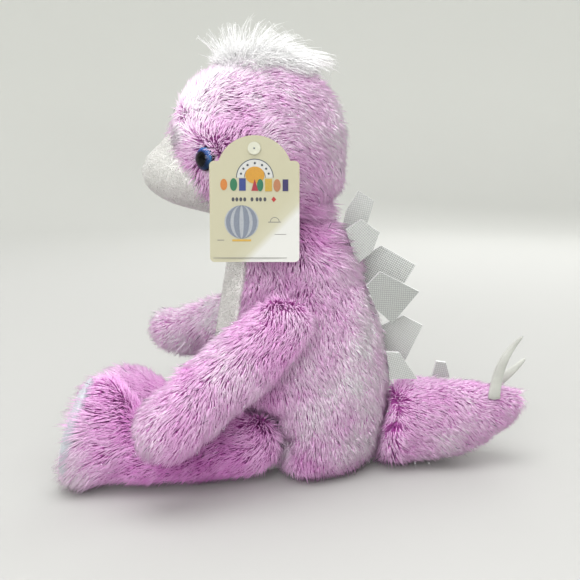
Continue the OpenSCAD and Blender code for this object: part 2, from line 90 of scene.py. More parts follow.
def noise(points, scale, seed, channels=1):
    """Smooth value noise in [-1, 1] at points, with cells of the given size."""
    q = points / scale + 100.0
    base = np.floor(q).astype(np.int64)
    t = q - base
    t = t * t * (3 - 2 * t)
    out = np.zeros((len(points), channels))
    for dx in (0, 1):
        for dy in (0, 1):
            for dz in (0, 1):
                cell = base + (dx, dy, dz)
                weight = (
                    np.where(dx, t[:, 0], 1 - t[:, 0])
                    * np.where(dy, t[:, 1], 1 - t[:, 1])
                    * np.where(dz, t[:, 2], 1 - t[:, 2])
                )
                for c in range(channels):
                    h = (cell[:, 0] * 73856093) ^ (cell[:, 1] * 19349663) ^ (cell[:, 2] * 83492791)
                    h = (h ^ (seed * 2654435761 + c * 97531)) & 0x7FFFFFFF
                    h = (h * 1103515245 + 12345) & 0x7FFFFFFF
                    h = (h ^ (h >> 13)) * 1274126177 & 0x7FFFFFFF
                    out[:, c] += weight * ((h & 0xFFFF) / 32767.5 - 1.0)
    return out if channels > 1 else out[:, 0]


def link(obj):
    bpy.context.scene.collection.objects.link(obj)
    return obj


def mesh_arrays(mesh):
    """Vertex places and triangles of a mesh as arrays."""
    mesh.calc_loop_triangles()
    co = np.empty(len(mesh.vertices) * 3, np.float32)
    mesh.vertices.foreach_get("co", co)
    tri = np.empty(len(mesh.loop_triangles) * 3, np.int32)
    mesh.loop_triangles.foreach_get("vertices", tri)
    return co.reshape(-1, 3).astype(float), tri.reshape(-1, 3)


def build_mesh(name, verts, faces, materials, face_material=None, shade_smooth=True):
    """A mesh object from arrays; faces is an (n, k) array or a list of lists."""
    mesh = bpy.data.meshes.new(name)
    if isinstance(faces, np.ndarray):
        n, k = faces.shape
        mesh.vertices.add(len(verts))
        mesh.vertices.foreach_set("co", np.asarray(verts, np.float32).ravel())
        mesh.loops.add(n * k)
        mesh.loops.foreach_set("vertex_index", faces.astype(np.int32).ravel())
        mesh.polygons.add(n)
        mesh.polygons.foreach_set("loop_start", np.arange(0, n * k, k, dtype=np.int32))
        mesh.polygons.foreach_set("loop_total", np.full(n, k, np.int32))
    else:
        mesh.from_pydata([tuple(v) for v in verts], [], faces)
    for m in materials:
        mesh.materials.append(m)
    if face_material is not None:
        mesh.polygons.foreach_set("material_index", np.asarray(face_material, np.int32))
    mesh.polygons.foreach_set("use_smooth", np.full(len(mesh.polygons), shade_smooth))
    mesh.update(calc_edges=True)
    return link(bpy.data.objects.new(name, mesh))


def copy_node(name, new_name):
    """A free copy of a CAD node's mesh."""
    obj = link(bpy.data.objects.new(new_name, NODES[name].data.copy()))
    obj.data.materials.clear()
    return obj


def apply_modifiers(obj):
    """Bakes obj's modifiers into its own mesh."""
    dg = bpy.context.evaluated_depsgraph_get()
    mesh = bpy.data.meshes.new_from_object(obj.evaluated_get(dg))
    obj.modifiers.clear()
    old = obj.data
    obj.data = mesh
    bpy.data.meshes.remove(old)
    return obj


def remesh(obj, voxel, smooth_turns=4, factor=0.5):
    """Even quads of about one voxel over obj's closed shape, then relaxed."""
    m = obj.modifiers.new("remesh", "REMESH")
    m.mode = "VOXEL"
    m.voxel_size = voxel
    s = obj.modifiers.new("relax", "SMOOTH")
    s.factor = factor
    s.iterations = smooth_turns
    return apply_modifiers(obj)


def outward(obj):
    """Turns every face of a closed mesh to the outside."""
    shape = bmesh.new()
    shape.from_mesh(obj.data)
    bmesh.ops.recalc_face_normals(shape, faces=shape.faces)
    shape.to_mesh(obj.data)
    shape.free()


def shade(obj, on=True):
    obj.data.polygons.foreach_set("use_smooth", np.full(len(obj.data.polygons), on))
    obj.data.update()


# ---------------------------------------------------------------- materials


def principled(name, colour, roughness=0.7, **sockets):
    """A Principled material; sockets are its other inputs by name, with _ for spaces."""
    mat = bpy.data.materials.new(name)
    mat.use_nodes = True
    p = mat.node_tree.nodes["Principled BSDF"]
    p.inputs["Base Color"].default_value = (*colour, 1.0)
    p.inputs["Roughness"].default_value = roughness
    for key, value in sockets.items():
        p.inputs[key.replace("_", " ")].default_value = value
    return mat, mat.node_tree, p


def srgb(r, g, b):
    """Linear colour from 0-255 display values."""
    return tuple(c / 12.92 if c <= 0.04045 else ((c + 0.055) / 1.055) ** 2.4 for c in (r / 255, g / 255, b / 255))


def add(tree, kind, **values):
    """A node of that kind; values set its inputs by name, or its own settings."""
    node = tree.nodes.new(kind)
    for key, value in values.items():
        socket = node.inputs.get(key.replace("_", " "))
        if socket is not None:
            socket.default_value = value
        else:
            setattr(node, key, value)
    return node


def texture(tree, at, kind, **values):
    """A node of that kind whose Vector comes from at."""
    node = add(tree, kind, **values)
    tree.links.new(at, node.inputs["Vector"])
    return node


def ramp(tree, stops, source):
    """A colour ramp fed by source; stops are (place, colour)."""
    node = tree.nodes.new("ShaderNodeValToRGB")
    elements = node.color_ramp.elements
    while len(elements) < len(stops):
        elements.new(0.5)
    for e, (place, colour) in zip(elements, stops):
        e.position = place
        e.color = (*colour, 1.0)
    tree.links.new(source, node.inputs["Fac"])
    return node.outputs["Color"]


def paint(tree, p, stops, source):
    """Colours p by a ramp fed by source."""
    tree.links.new(ramp(tree, stops, source), p.inputs["Base Color"])


def object_coords(tree):
    return tree.nodes.new("ShaderNodeTexCoord").outputs["Object"]


def bump(tree, p, height, strength, distance):
    node = add(tree, "ShaderNodeBump", Strength=strength, Distance=distance)
    tree.links.new(height, node.inputs["Height"])
    tree.links.new(node.outputs["Normal"], p.inputs["Normal"])


def knit_backing(name, dark, light):
    """The knitted base that the pile grows from."""
    mat, tree, p = principled(name, dark, 0.9, Sheen_Weight=0.3)
    at = object_coords(tree)
    loops = texture(tree, at, "ShaderNodeTexVoronoi", Scale=900.0)
    patch = texture(tree, at, "ShaderNodeTexNoise", Scale=45.0, Detail=3.0)
    colour = ramp(tree, [(0.3, dark), (0.7, light)], patch.outputs["Fac"])
    tree.links.new(colour, p.inputs["Base Color"])
    bump(tree, p, loops.outputs["Distance"], 0.5, 0.0004)
    return mat


def short_pile(name, dark, light):
    """White velvety cloth."""
    mat, tree, p = principled(name, light, 0.85, Sheen_Weight=0.4, Sheen_Roughness=0.4)
    at = object_coords(tree)
    fine = texture(tree, at, "ShaderNodeTexNoise", Scale=900.0, Detail=4.0)
    patch = texture(tree, at, "ShaderNodeTexNoise", Scale=70.0, Detail=4.0)
    paint(tree, p, [(0.3, dark), (0.65, light)], patch.outputs["Fac"])
    bump(tree, p, fine.outputs["Fac"], 0.6, 0.0006)
    return mat


def silver_weave(name, low, high, twist):
    """Silver cloth: two crossed sets of threads in the plate's plane (Y, Z), turned by twist."""
    mat, tree, p = principled(name, high, 0.42, Sheen_Weight=0.2)
    at = object_coords(tree)
    turn = texture(tree, at, "ShaderNodeMapping")
    turn.inputs["Rotation"].default_value = (twist, 0.0, 0.0)
    threads = []
    for direction in ("Y", "Z"):
        w = texture(tree, turn.outputs["Vector"], "ShaderNodeTexWave", Scale=215.0, bands_direction=direction)
        threads.append(w.outputs["Fac"])
    both = add(tree, "ShaderNodeMath", operation="MULTIPLY")
    tree.links.new(threads[0], both.inputs[0])
    tree.links.new(threads[1], both.inputs[1])
    glint = texture(tree, at, "ShaderNodeTexNoise", Scale=800.0, Detail=2.0)
    mix = add(tree, "ShaderNodeMath", operation="MULTIPLY_ADD")
    tree.links.new(glint.outputs["Fac"], mix.inputs[0])
    mix.inputs[1].default_value = 0.35
    tree.links.new(both.outputs["Value"], mix.inputs[2])
    paint(tree, p, [(0.12, low), (0.5, high)], mix.outputs["Value"])
    p.inputs["Metallic"].default_value = 0.25
    bump(tree, p, both.outputs["Value"], 0.5, 0.0003)
    return mat


def satin(name, low, high):
    """Smooth shiny cloth with fine ribs."""
    mat, tree, p = principled(name, high, 0.4, Sheen_Weight=0.3)
    at = object_coords(tree)
    w = texture(tree, at, "ShaderNodeTexWave", Scale=260.0, Distortion=1.0, bands_direction="DIAGONAL")
    patch = texture(tree, at, "ShaderNodeTexNoise", Scale=60.0, Detail=3.0)
    paint(tree, p, [(0.3, low), (0.7, high)], patch.outputs["Fac"])
    bump(tree, p, w.outputs["Fac"], 0.3, 0.0002)
    return mat


def fibre_fill(name):
    mat, tree, p = principled(name, srgb(235, 232, 225), 0.95)
    at = object_coords(tree)
    n = texture(tree, at, "ShaderNodeTexNoise", Scale=160.0, Detail=6.0, Distortion=1.5)
    colours = [(0.3, srgb(214, 210, 202)), (0.7, srgb(244, 242, 238))]
    paint(tree, p, colours, n.outputs["Fac"])
    bump(tree, p, n.outputs["Fac"], 0.8, 0.002)
    return mat


# ---------------------------------------------------------------- pile
# lilac fibre from the deep root to the pale tip; a strand's pieces pick a shade by place
LILAC_STOPS = [
    (0.00, (178, 58, 163)),
    (0.20, (211, 110, 199)),
    (0.40, (233, 155, 224)),
    (0.58, (246, 190, 239)),
    (0.76, (252, 216, 248)),
    (0.90, (255, 234, 252)),
    (1.00, (255, 248, 255)),
]
WHITE_STOPS = [(0.0, (234, 232, 234)), (0.5, (246, 245, 246)), (1.0, (253, 253, 253))]
VELVET_STOPS = [(0.0, (216, 215, 212)), (0.5, (230, 229, 226)), (1.0, (242, 241, 238))]
SHADES = 12


def shades(name, stops, count):
    """Plain fibre materials along a run of colour stops."""
    places = [s[0] for s in stops]
    made = []
    for k in range(count):
        v = k / (count - 1)
        colour = srgb(*[np.interp(v, places, [s[1][c] for s in stops]) for c in range(3)])
        mat, _, _ = principled(f"{name}_{k}", colour, 0.6, Specular_IOR_Level=0.3)
        made.append(mat)
    return made


LILAC = shades("lilac_fibre", LILAC_STOPS, SHADES)
WHITE = shades("white_fibre", WHITE_STOPS, 5)
VELVET_FIBRE = shades("velvet_fibre", VELVET_STOPS, 4)
TINSEL_DARK = principled("tinsel_dark", srgb(70, 62, 96), 0.25, Metallic=1.0)[0]
TINSEL_BRIGHT = principled("tinsel_bright", srgb(250, 248, 255), 0.15, Metallic=1.0)[0]


def vertex_normals(co, tri):
    """Smooth normals, weighted by the triangles' areas."""
    cross = np.cross(co[tri[:, 1]] - co[tri[:, 0]], co[tri[:, 2]] - co[tri[:, 0]])
    vn = np.zeros_like(co)
    for k in range(3):
        np.add.at(vn, tri[:, k], cross)
    return unit(vn)


def sample(co, tri, spacing, rng):
    """Random places on triangles, about one per spacing squared, with smooth normals."""
    a, b, c = co[tri[:, 0]], co[tri[:, 1]], co[tri[:, 2]]
    area = np.linalg.norm(np.cross(b - a, c - a), axis=1) / 2
    vn = vertex_normals(co, tri)
    count = int(area.sum() / spacing**2)
    pick = np.searchsorted(np.cumsum(area), (np.arange(count) + rng.random(count)) / count * area.sum())
    pick = np.minimum(pick, len(tri) - 1)
    u, v = rng.random(count), rng.random(count)
    over = u + v > 1
    u[over], v[over] = 1 - u[over], 1 - v[over]
    w = 1 - u - v
    t = tri[pick]
    place = co[t[:, 0]] * w[:, None] + co[t[:, 1]] * u[:, None] + co[t[:, 2]] * v[:, None]
    normal = unit(vn[t[:, 0]] * w[:, None] + vn[t[:, 1]] * u[:, None] + vn[t[:, 2]] * v[:, None])
    return place, normal


def strands_mesh(name, spine, radius, tone, materials, rng, sides=3):
    """Closed tapered strands, kept above the floor.

    spine is (n, rings + 1, 3); radius and tone are (n, rings), with tone in 0..1."""
    n, rings = radius.shape
    spine[:, :, 2] = np.maximum(spine[:, :, 2], 0.0004)
    along = unit(spine[:, 1:] - spine[:, :-1])
    spin = rng.random(n) * 2 * math.pi
    helper = np.where(np.abs(along[:, 0, 2:3]) < 0.8, [[0.0, 0.0, 1.0]], [[1.0, 0.0, 0.0]])
    verts = np.empty((n, rings * sides + 1, 3))
    for r in range(rings):
        d = along[:, r] if r == 0 else unit(along[:, r] + along[:, r - 1])
        s = unit(np.cross(d, helper))
        e = np.cross(d, s)
        for k in range(sides):
            angle = spin + 2 * math.pi * k / sides
            out = np.cos(angle)[:, None] * s + np.sin(angle)[:, None] * e
            verts[:, r * sides + k] = spine[:, r] + out * radius[:, r, None]
    verts[:, -1] = spine[:, -1]
    verts[:, :, 2] = np.maximum(verts[:, :, 2], 0.0002)
    tris, ring_of = [], []
    for r in range(rings - 1):
        for k in range(sides):
            a, b = r * sides + k, r * sides + (k + 1) % sides
            tris += [(a, b, b + sides), (a, b + sides, a + sides)]
            ring_of += [r, r]
    last = (rings - 1) * sides
    for k in range(sides):
        tris.append((last + k, last + (k + 1) % sides, rings * sides))
        ring_of.append(rings - 1)
    for k in range(1, sides - 1):
        tris.append((0, k + 1, k))
        ring_of.append(0)
    tris = np.array(tris)
    faces = (tris[None] + np.arange(n)[:, None, None] * verts.shape[1]).reshape(-1, 3)
    top = len(materials) - 1
    index = np.clip(np.round(tone * top + (rng.random(tone.shape) - 0.5) * 0.9), 0, top).astype(int)
    face_material = index[:, ring_of].reshape(-1)
    return build_mesh(name, verts.reshape(-1, 3), faces, materials, face_material)


MAX_STRAND_FACES = 190000


def pile(name, place, normal, flow, length, width, paleness, body, rng, materials=LILAC, lean=0.54):
    """Grows strands at place, leaning along flow, clumped and toned, and lets them ride on body."""
    n = len(place)
    swirl = noise(place, 0.026, 11, 3) * 0.55 + noise(place, 0.0075, 12, 3) * 0.50
    tangent = flow - normal * (flow * normal).sum(1)[:, None]
    tangent /= np.maximum(np.linalg.norm(tangent, axis=1), 0.4)[:, None]
    swirl -= normal * (swirl * normal).sum(1)[:, None]
    jitter = rng.normal(0, 0.19, (n, 3))
    lay = unit(tangent + swirl + jitter)
    rise = lean + 0.10 * noise(place, 0.012, 13) + rng.normal(0, 0.05, n)
    first = unit(lay * (rise * 0.75)[:, None] + normal * (1 - rise * 0.55)[:, None])
    second = unit(lay * (rise + 0.28)[:, None] + normal * (0.95 - rise)[:, None] + (0, 0, -0.10))
    size = length * (1 + rng.normal(0, 0.13, n) + 0.12 * noise(place, 0.009, 14))
    mid = place + first * (size * 0.45)[:, None]
    tip = mid + second * (size * 0.55)[:, None]
    tip = clump(place, tip, 0.0048, 0.34, rng)
    spine = np.stack([place, mid, tip], 1)
    thick = width * (1 + rng.normal(0, 0.18, n))
    radius = np.stack([thick * 0.5, thick * 0.42], 1)
    patch = 0.19 * noise(place, 0.024, 15) + 0.12 * noise(place, 0.007, 16) + rng.normal(0, 0.06, n)
    tone = np.stack([paleness - 0.26 + patch, paleness + 0.12 + patch * 0.8], 1)
    per_piece = MAX_STRAND_FACES // 10
    pieces = max(1, math.ceil(n / per_piece))
    order = np.argsort(place[:, 2], kind="stable")
    for k, part in enumerate(np.array_split(order, pieces)):
        piece_name = name if pieces == 1 else f"{name}_{k + 1}"
        obj = strands_mesh(piece_name, spine[part], radius[part], np.clip(tone[part], 0, 1), materials, rng)
        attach(obj, body)


def tinsel(name, place, normal, flow, length, body, rng):
    """Sparse metallic fibres lying in the outer pile, some dark, most bright."""
    n = len(place)
    lay = unit(flow + normal * 0.35 + rng.normal(0, 0.35, (n, 3)))
    start = place + normal * (length * (0.35 + 0.35 * rng.random(n)))[:, None]
    size = 0.0035 + 0.0045 * rng.random(n)
    mid = start + lay * (size * 0.5)[:, None]
    tip = mid + unit(lay + rng.normal(0, 0.18, (n, 3))) * (size * 0.5)[:, None]
    spine = np.stack([start, mid, tip], 1)
    radius = np.full((n, 2), 0.00016)
    tone = np.repeat((rng.random(n) > 0.4).astype(float)[:, None], 2, 1)
    obj = strands_mesh(name, spine, radius, tone, [TINSEL_DARK, TINSEL_BRIGHT], rng)
    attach(obj, body)


def clump(place, tip, size, pull, rng):
    """Draws the tips of neighbouring strands together into locks about size wide."""
    n = len(place)
    count = max(1, int(n * 0.09))
    leaders = rng.choice(n, count, replace=False)
    tree = kdtree.KDTree(count)
    for k, i in enumerate(leaders):
        tree.insert(place[i], k)
    tree.balance()
    nearest = np.array([tree.find(p)[1] for p in place])
    lead = leaders[nearest]
    offset = place - place[lead]
    near = np.exp(-((np.linalg.norm(offset, axis=1) / size) ** 2))
    target = tip[lead] + offset * 0.25
    share = (pull * near * (0.6 + 0.4 * rng.random(n)))[:, None]
    return tip * (1 - share) + target * share


# ---------------------------------------------------------------- padded forms
VOXEL = 0.0045
FORM_FRAMES = 16


def padded_form(node, name, body, cap):
    """The stuffed body: the filling's own shape, swollen as cloth under pressure, by at most cap."""
    obj = copy_node(node, name)
    remesh(obj, VOXEL, 3)
    start, _ = mesh_arrays(obj.data)
    cloth = obj.modifiers.new("cloth", "CLOTH")
    cloth.settings.use_pressure = True
    cloth.settings.uniform_pressure_force = 4.0
    cloth.settings.effector_weights.gravity = 0.0
    cloth.settings.quality = 4
    cloth.point_cache.frame_start = 1
    cloth.point_cache.frame_end = FORM_FRAMES
    scene = bpy.context.scene
    for f in range(1, FORM_FRAMES + 1):
        scene.frame_set(f)
    apply_modifiers(obj)
    scene.frame_set(1)
    now, _ = mesh_arrays(obj.data)
    move = now - start
    far = np.linalg.norm(move, axis=1)
    move *= (np.minimum(far, cap) / np.maximum(far, 1e-9))[:, None]
    normals = np.empty(len(start) * 3, np.float32)
    obj.data.vertices.foreach_get("normal", normals)
    placed = start + move
    placed[:, 2] = np.maximum(placed[:, 2], 0.004)
    obj.data.vertices.foreach_set("co", placed.astype(np.float32).ravel())
    obj.data.update()
    sub = obj.modifiers.new("subdivide", "SUBSURF")
    sub.levels = 1
    sub.render_levels = 1
    apply_modifiers(obj)
    obj.data.materials.append(FILLING)
    shade(obj)
    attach(obj, body)
    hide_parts(node)
    return obj


FILLING = fibre_fill("polyester_filling")
BACKING = knit_backing("lilac_backing", srgb(168, 70, 158), srgb(200, 112, 190))
VELVET = short_pile("white_velvet", srgb(218, 217, 214), srgb(236, 235, 232))


def offset_mesh(co, tri, distance):
    return co + vertex_normals(co, tri) * distance


PANEL_DEPTH = 0.0042


def nearest_panel(points, panels):
    """Which of the CAD panels each point lies in or is nearest to."""
    best = np.full(len(points), 1e9)
    which = np.zeros(len(points), int)
    for k, panel in enumerate(panels):
        mesh = NODES[panel].data
        co, tri = mesh_arrays(mesh)
        tree = BVHTree.FromPolygons(co.tolist(), tri.tolist())
        for i, p in enumerate(points):
            place, normal, _, far = tree.find_nearest(Vector(p))
            inside = far < PANEL_DEPTH and (Vector(p) - place).dot(normal) < 0
            d = -far if inside else far
            if d < best[i]:
                best[i], which[i] = d, k
    return which


SKIN_GAP = 0.0006
SKIN_T = 0.0008


def skins(form, panels, body, short=()):
    """Sewn backing cloth, one piece per CAD panel, over the padded form. Gives each panel's surface."""
    co, tri = mesh_arrays(form.data)
    out = offset_mesh(co, tri, SKIN_GAP)
    which = nearest_panel(co[tri].mean(1), panels)
    surfaces = {}
    for k, panel in enumerate(panels):
        mine = tri[which == k]
        if not len(mine):
            continue
        surfaces[panel] = (out, mine)
        if panel in short:
            continue
        used, flat = np.unique(mine, return_inverse=True)
        flat = flat.reshape(-1, 3)
        obj = build_mesh("backing_" + panel, out[used], flat, [BACKING])
        thick = obj.modifiers.new("cloth_thickness", "SOLIDIFY")
        thick.thickness = SKIN_T
        thick.offset = 1.0
        apply_modifiers(obj)
        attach(obj, body)
        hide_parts(panel)
    return surfaces


# ---------------------------------------------------------------- lay of the pile
def centre_of(node):
    lo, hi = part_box(node)
    return np.array((lo + hi) / 2)


HEAD_C = centre_of("head_stuffing")
EYES = [centre_of("eye_left"), centre_of("eye_right")]
HEAD_POLE = np.array([0.0, -0.034, 0.228])
MUZZLE_DIR = np.array([0.0, -math.cos(math.radians(25)), -math.sin(math.radians(25))])


def torso_flow(p):
    back = smooth(p[:, 1], -0.02, 0.05)
    side = np.sign(p[:, 0]) * 0.15
    nape = smooth(p[:, 2], 0.140, 0.162) * smooth(p[:, 1], -0.02, 0.02)
    down = np.stack([side, 0.15 + 0.55 * back + 1.3 * nape, 1.5 * nape - 1], 1)
    return unit(down)


def head_flow(p):
    d = unit(p - HEAD_POLE)
    angle = np.degrees(np.arccos(np.clip(d @ MUZZLE_DIR, -1, 1)))
    away = d - MUZZLE_DIR * (d @ MUZZLE_DIR)[:, None]
    out = unit(away) * np.cos(np.radians(angle))[:, None] - MUZZLE_DIR * np.sin(np.radians(angle))[:, None]
    forward = 1 - smooth(angle, 36, 66)
    flow = out * (1 - 2 * forward)[:, None]
    rear = smooth(angle, 95, 135)
    flow = flow * (1 - 0.75 * rear)[:, None] + np.array([0.0, 0.1, -1.0]) * (0.8 * rear)[:, None]
    low = smooth(-p[:, 2], -0.215, -0.19)
    flow = flow + np.array([0.0, 0.1, -1.0]) * (0.9 * low * (1 - forward) + 0.25)[:, None]
    for eye in EYES:
        away = p - eye
        near = np.exp(-((np.linalg.norm(away, axis=1) / 0.016) ** 2))
        flow = flow + unit(away) * (2.2 * near)[:, None]
    return flow


CAP = np.array([0.9, -0.2, -0.5])  # how the pile lies over a left limb's rounded root


def limb_flow(start, end, droop=0.15, cap=CAP):
    """Pile that runs from start to end and lies along cap at the root."""
    s, e = np.array(start), np.array(end)
    axis = unit(e - s)

    def flow(p):
        along = (p - s) @ axis
        past = smooth(along, np.linalg.norm(e - s) * 0.75, np.linalg.norm(e - s) * 1.1)
        early = 1 - smooth(along, -0.004, 0.018)
        lay = axis + np.array([0, 0, -droop]) + unit(p - e) * (0.5 * past)[:, None]
        return lay * (1 - early)[:, None] + np.array(cap) * early[:, None]

    return flow


# ---------------------------------------------------------------- bodies
SPACING = 0.00090
PILE = 0.0125
TINSEL_SHARE = 0.006
STRAND = 0.00068


def fur_body(body, filling, panels, flow, pale, seed, cap, short=(), length=PILE, mask=None,
             grow=None):
    """One stuffed body: its padding, the sewn skins of its panels, and the pile and tinsel on them."""
    form = padded_form(filling, "padding_" + body, body, cap)
    surfaces = skins(form, panels, body, short)
    for k, panel in enumerate(panels):
        if panel in short or panel not in surfaces:
            continue
        rng = np.random.default_rng(seed + k)
        co, tri = surfaces[panel]
        place, normal = sample(co, tri, SPACING, rng)
        if mask is not None:
            kept = mask(place)
            place, normal = place[kept], normal[kept]
        low = smooth(-place[:, 2], -0.014, -0.004) * (normal[:, 2] < -0.5)
        size = length * (1 - 0.35 * low)
        if grow is not None:
            size = size * grow(place)
        lay = flow(place)
        pile("pile_" + panel, place, normal, lay, size, STRAND, pale(place), body, rng)
        few = rng.choice(len(place), int(len(place) * TINSEL_SHARE), replace=False)
        tinsel("tinsel_" + panel, place[few], normal[few], lay[few], size[few], body, rng)
    return surfaces


MIRROR = np.array([-1.0, 1.0, 1.0])  # swaps left and right


def spot(p, at, size):
    """A soft round weight about a place."""
    return np.exp(-((np.linalg.norm(p - np.array(at), axis=1) / size) ** 2))


def both_sides(p, at, size):
    """The same spot on the left and on the right."""
    return spot(p, at, size) + spot(p, np.array(at) * MIRROR, size)


def torso_pale(p):
    back = smooth(p[:, 1], 0.0, 0.05)
    # Painted shade: the pile is darker in the crease under the head, under the arms, at the shoulders where the
    # arms join, and low down by the floor (seat).
    crease_shade = smooth(p[:, 2], 0.150, 0.172) * smooth(np.abs(p[:, 0]), 0.0, 0.02)
    under_arm_shade = both_sides(p, (0.052, -0.045, 0.070), 0.030)
    seat = 1 - smooth(p[:, 2], 0.004, 0.030)
    shoulder_shade = both_sides(p, (0.050, -0.015, 0.130), 0.026)
    return 0.66 + 0.17 * back - 0.20 * crease_shade - 0.30 * under_arm_shade - 0.20 * shoulder_shade - 0.22 * seat


def head_pale(p):
    front = smooth(-p[:, 1], 0.02, 0.08)
    top = smooth(p[:, 2], 0.250, 0.285)
    # Painted shade: the pile is darker under the head.
    under = smooth(-p[:, 2], -0.215, -0.19)
    side = np.sign(p[:, 0])[:, None] * np.array([[1.0, 0, 0]]) + np.array([[0, 1.0, 1.0]])
    q = p * side
    # Painted shade: darker spots where shade falls on both sides of the head, one beside the tag.
    shade_spots = 0.26 * spot(q, (0.060, -0.018, 0.262), 0.014) + 0.40 * spot(q, (0.045, -0.082, 0.205), 0.015)
    shade_spots += 0.20 * spot(q, (0.062, 0.000, 0.222), 0.018)
    # Painted light: the back of the head is painted paler to lift the shade the lamps leave there.
    rear = smooth(p[:, 1], 0.0, 0.05)
    return 0.68 + 0.08 * front + 0.10 * top + 0.15 * rear - 0.16 * under - shade_spots


def head_grow(p):
    """The pile hangs longer round the neck opening, over the sewn joint."""
    neck = np.linalg.norm(p - np.array([0.0, -0.015, 0.148]), axis=1)
    return 1 + (0.5 + 0.9 * smooth(p[:, 1], -0.03, 0.01)) * (1 - smooth(neck, 0.047, 0.062))


def torso_grow(p):
    """Longer at the nape, where the pile fills the fold under the head."""
    return 1 + 0.9 * smooth(p[:, 2], 0.138, 0.156) * smooth(p[:, 1], -0.02, 0.02)


def head_mask(p):
    keep = np.ones(len(p), bool)
    for eye in EYES:
        keep &= np.linalg.norm(p - eye, axis=1) > 0.0095
    socket = np.linalg.norm(p - np.array([0.0, -0.015, 0.148]), axis=1) < 0.0445
    return keep & ~socket


fur_body("torso", "torso_stuffing", ["torso_fur_left", "torso_fur_right", "belly_panel", "seat_panel"],
         torso_flow, torso_pale, 100, 0.0022, short=("belly_panel",), grow=torso_grow)
fur_body("head", "head_stuffing", ["head_fur_left", "head_fur_right", "muzzle_cover"],
         head_flow, head_pale, 200, 0.0022, short=("muzzle_cover",), mask=head_mask, grow=head_grow)

ARM_START, ARM_END = np.array([0.0605, -0.015, 0.116]), np.array([0.098, -0.089, 0.057])
def arm_pale(p):
    # Painted shade: the arm is darker low down (under) and round the top of its root at the shoulder (cap).
    under = 1 - smooth(p[:, 2], 0.030, 0.060)
    right = 0.17 * (p[:, 0] < 0)
    cap = both_sides(p, (0.075, -0.010, 0.125), 0.030)
    return 0.62 - 0.06 * smooth(-p[:, 1], 0.05, 0.1) - 0.12 * under - 0.14 * cap + right


fur_body("arm_left", "arm_left_stuffing", ["arm_left_outer", "arm_left_inner"],
         limb_flow(ARM_START, ARM_END), arm_pale, 300, 0.0022)
fur_body("arm_right", "arm_right_stuffing", ["arm_right_outer", "arm_right_inner"],
         limb_flow(ARM_START * MIRROR, ARM_END * MIRROR, cap=CAP * MIRROR), arm_pale, 400, 0.0022)


def leg_pale(p):
    toes = smooth(-p[:, 1], 0.122, 0.152)
    # Painted shade: a darker patch on the upper leg, under the arm.
    dark = both_sides(p, (0.062, -0.070, 0.045), 0.030)
    return 0.43 + 0.27 * toes - 0.20 * dark


def leg_grow(p):
    """A fringe that laps over the edge of the sole."""
    return 1 + 0.45 * smooth(-p[:, 1], 0.128, 0.145)


HIP, FOOT = np.array([0.040, -0.030, 0.027]), np.array([0.057, -0.152, 0.040])
HIP_R, FOOT_R = np.array([-0.040, -0.030, 0.027]), np.array([-0.050, -0.150, 0.030])
fur_body("leg_left", "leg_left_stuffing", ["leg_left_outer", "leg_left_inner", "foot_pad_left"],
         limb_flow(HIP, FOOT), leg_pale, 500, 0.0022, short=("foot_pad_left",), grow=leg_grow)
fur_body("leg_right", "leg_right_stuffing", ["leg_right_outer", "leg_right_inner", "foot_pad_right"],
         limb_flow(HIP_R, FOOT_R, cap=CAP * MIRROR), leg_pale, 600, 0.0022, short=("foot_pad_right",),
         grow=leg_grow)


def tail_pale(p):
    # Painted shade: slightly darker at the root, in the crease where the tail meets the body.
    return 0.64 - 0.12 * smooth(p[:, 1], 0.10, 0.15) - 0.04 * (1 - smooth(p[:, 1], 0.052, 0.075))


def tail_grow(p):
    """Longer at the root, over the seam with the back."""
    return 1 + 0.5 * (1 - smooth(p[:, 1], 0.056, 0.074))


fur_body("tail", "tail_stuffing", ["tail_fur_left", "tail_fur_right"],
         limb_flow((0.0, 0.052, 0.034), (0.0, 0.160, 0.048), 0.75, (0.0, -0.3, -1.0)), tail_pale, 700, 0.0018,
         length=0.0105, grow=tail_grow)

# ---------------------------------------------------------------- short white pile
def soft_panel(node, name, voxel, body, material, turns=6):
    obj = copy_node(node, name)
    remesh(obj, voxel, turns)
    obj.data.materials.clear()
    obj.data.materials.append(material)
    shade(obj)
    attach(obj, body)
    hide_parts(node)
    return obj


def short_nap(name, obj_name, body, spacing, size, seed, below=None):
    """A very short white pile over a velvet piece."""
    rng = np.random.default_rng(seed)
    co, tri = mesh_arrays(bpy.data.objects[obj_name].data)
    place, normal = sample(co, tri, spacing, rng)
    outer = np.array([(normal[i] @ (place[i] - below)) > 0 for i in range(len(place))])
    place, normal = place[outer], normal[outer]
    down = np.tile([[0.0, -0.3, -1.0]], (len(place), 1))
    pile(name, place, normal, down, np.full(len(place), size), 0.0004, np.full(len(place), 0.7), body,
         rng, materials=VELVET_FIBRE, lean=0.5)


SOLE = satin("sole_cloth", srgb(166, 172, 180), srgb(190, 195, 201))
soft_panel("muzzle_cover", "muzzle_velvet", 0.0014, "head", VELVET)
soft_panel("belly_panel", "belly_velvet", 0.0020, "torso", VELVET)
short_nap("muzzle_nap", "muzzle_velvet", "head", 0.0008, 0.0020, 801, HEAD_C)
short_nap("belly_nap", "belly_velvet", "torso", 0.0010, 0.0022, 802, np.array([0.0, 0.0, 0.08]))
soft_panel("foot_pad_left", "sole_left", 0.0016, "leg_left", SOLE)
soft_panel("foot_pad_right", "sole_right", 0.0016, "leg_right", SOLE)

# ---------------------------------------------------------------- crown tuft
TUFT_Y = (-0.054, -0.012)
TUFT_HALF = 0.019


